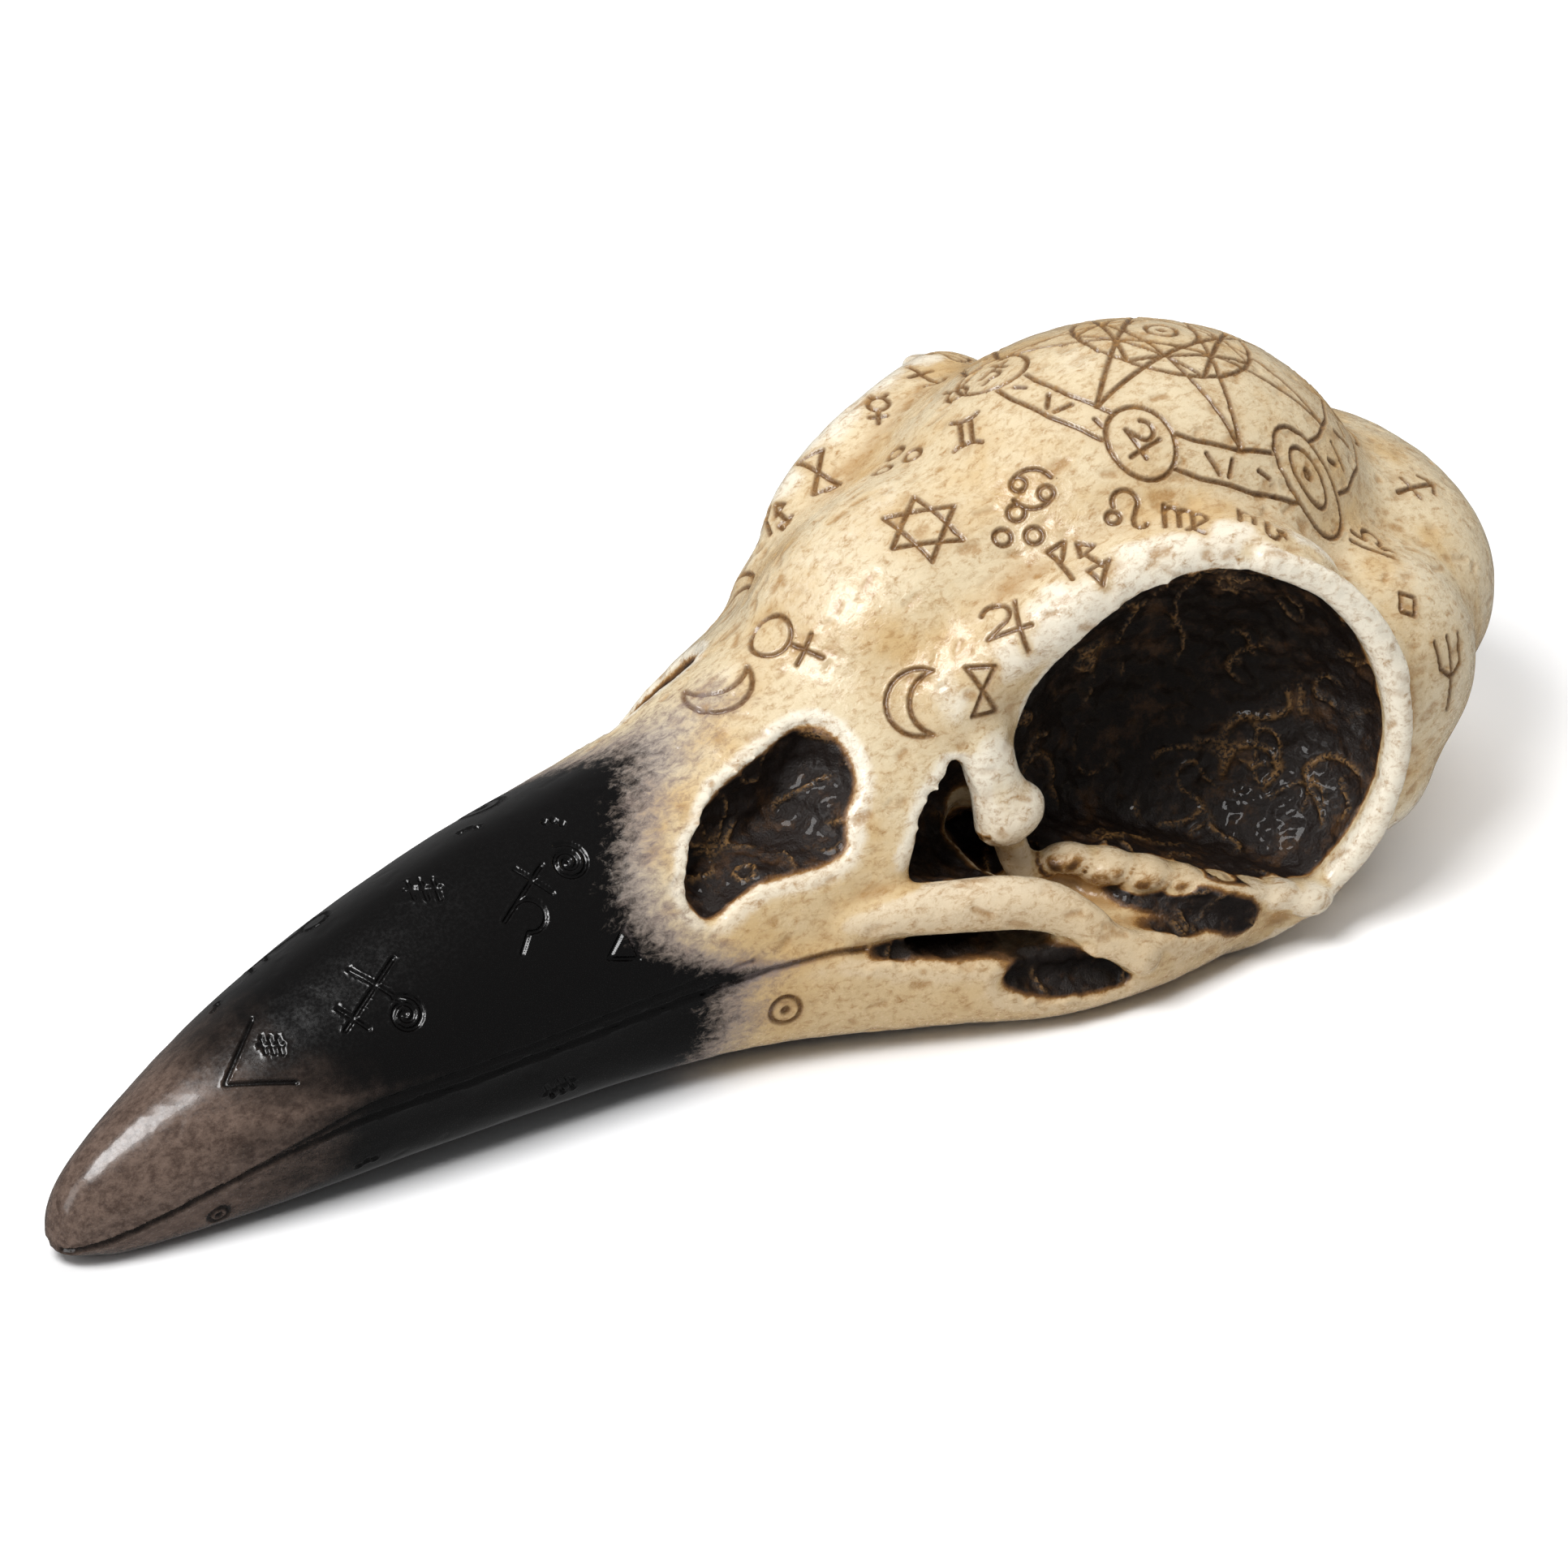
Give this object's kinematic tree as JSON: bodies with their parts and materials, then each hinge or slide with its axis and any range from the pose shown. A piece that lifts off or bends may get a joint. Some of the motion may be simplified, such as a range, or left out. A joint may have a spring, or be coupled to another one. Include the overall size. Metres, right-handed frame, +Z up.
{
  "type": "resin raven skull ornament",
  "caption": "Life-size raven skull ornament cast in resin: domed cranium, stout closed bill, open orbits and nostrils, jugal bars and lower jaw, engraved with old signs.",
  "frame": {"origin": "under the middle of the whole ornament, on the surface that it rests on", "axes": "-X towards the tip of the bill, +Z up, -Y towards the skull's own left side"},
  "size_m": [0.216, 0.0877, 0.0657],
  "materials": {
    "bone_resin": "cream resin with brown stain rubbed into its engraved lines, semi-gloss",
    "bill_resin": "black paint over cream resin, glossy, rubbed back to grey at the tip and at the root"
  },
  "bodies": {
    "root": {"cranium": "bone_resin", "upper_bill": "bill_resin", "lower_jaw": "bill_resin", "jugal_bar_left": "bone_resin", "jugal_bar_right": "bone_resin", "lacrimal_left": "bone_resin", "lacrimal_right": "bone_resin", "quadrate_left": "bone_resin", "quadrate_right": "bone_resin"}
  },
  "joints": []
}
